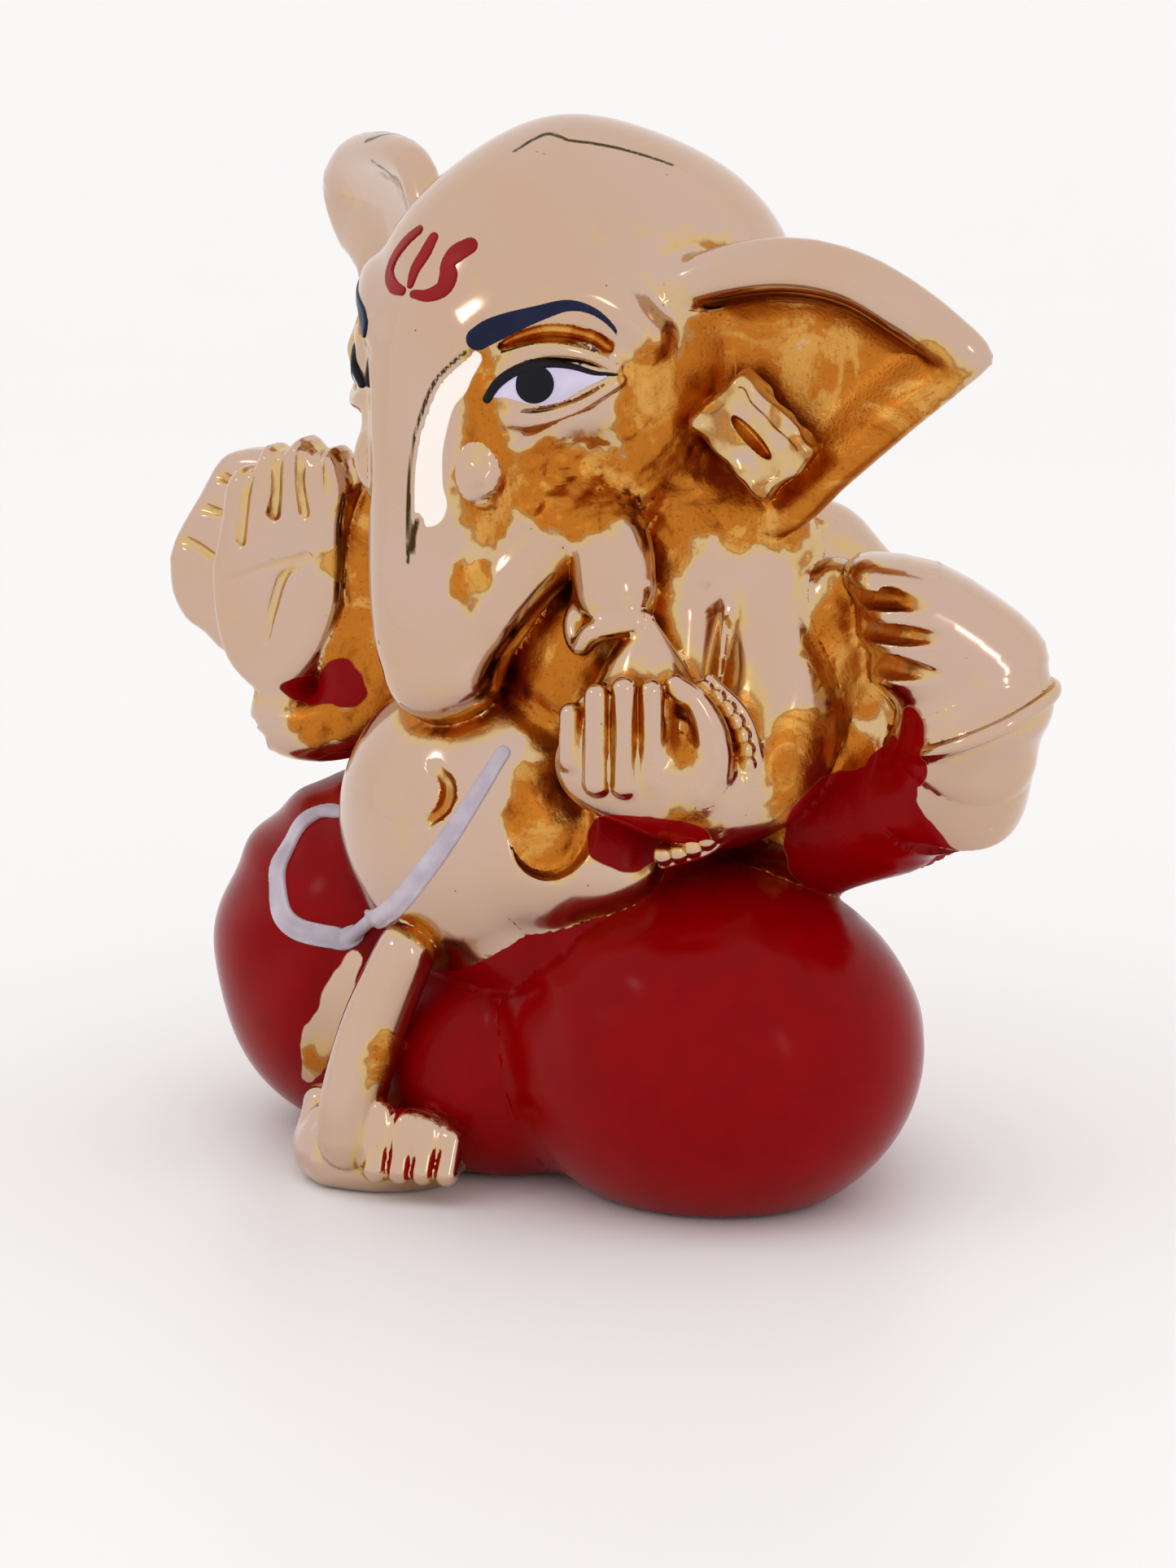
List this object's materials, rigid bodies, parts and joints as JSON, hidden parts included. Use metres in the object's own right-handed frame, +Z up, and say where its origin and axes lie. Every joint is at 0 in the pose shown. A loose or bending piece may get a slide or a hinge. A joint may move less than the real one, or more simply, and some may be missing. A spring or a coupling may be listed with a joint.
{
  "type": "ganesha idol",
  "caption": "Small seated elephant-headed figurine with four arms, a raised palm, a curled trunk, a round belly and folded legs in a painted dhoti, on a flat base.",
  "frame": {"origin": "on the surface it stands on, below the middle of the figure, where the base mount is", "axes": "+Z up; the idol faces -Y; +X is the idol's own left side"},
  "size_m": [0.0772, 0.0445, 0.0749],
  "materials": {
    "gold_plate": "thin polished gold plating with darker amber in the hollows",
    "red_enamel": "hand-painted gloss enamel",
    "navy_enamel": "hand-painted gloss enamel",
    "white_enamel": "hand-painted satin enamel, slightly lavender"
  },
  "bodies": {
    "root": {"head": "gold_plate", "trunk": "gold_plate", "left_tusk": "gold_plate", "right_tusk": "gold_plate", "left_ear": "gold_plate", "right_ear": "gold_plate", "left_ear_stud": "gold_plate", "right_ear_stud": "gold_plate", "left_eye": "white_enamel", "right_eye": "white_enamel", "left_pupil": "navy_enamel", "right_pupil": "navy_enamel", "left_lash_line": "navy_enamel", "right_lash_line": "navy_enamel", "left_brow": "navy_enamel", "right_brow": "navy_enamel", "tilak": "red_enamel", "torso": "gold_plate", "belly": "gold_plate", "left_flank": "gold_plate", "sacred_thread": "white_enamel", "left_front_arm": "gold_plate", "left_front_hand": "gold_plate", "beaded_bracelet": "gold_plate", "modak": "gold_plate", "left_rear_arm": "gold_plate", "left_rear_hand": "gold_plate", "wrist_band": "gold_plate", "right_front_arm": "gold_plate", "right_front_hand": "gold_plate", "right_rear_arm": "gold_plate", "right_rear_hand": "gold_plate", "seat": "red_enamel", "left_leg": "red_enamel", "right_leg": "red_enamel", "left_foot": "gold_plate", "right_foot": "gold_plate"}
  },
  "joints": []
}
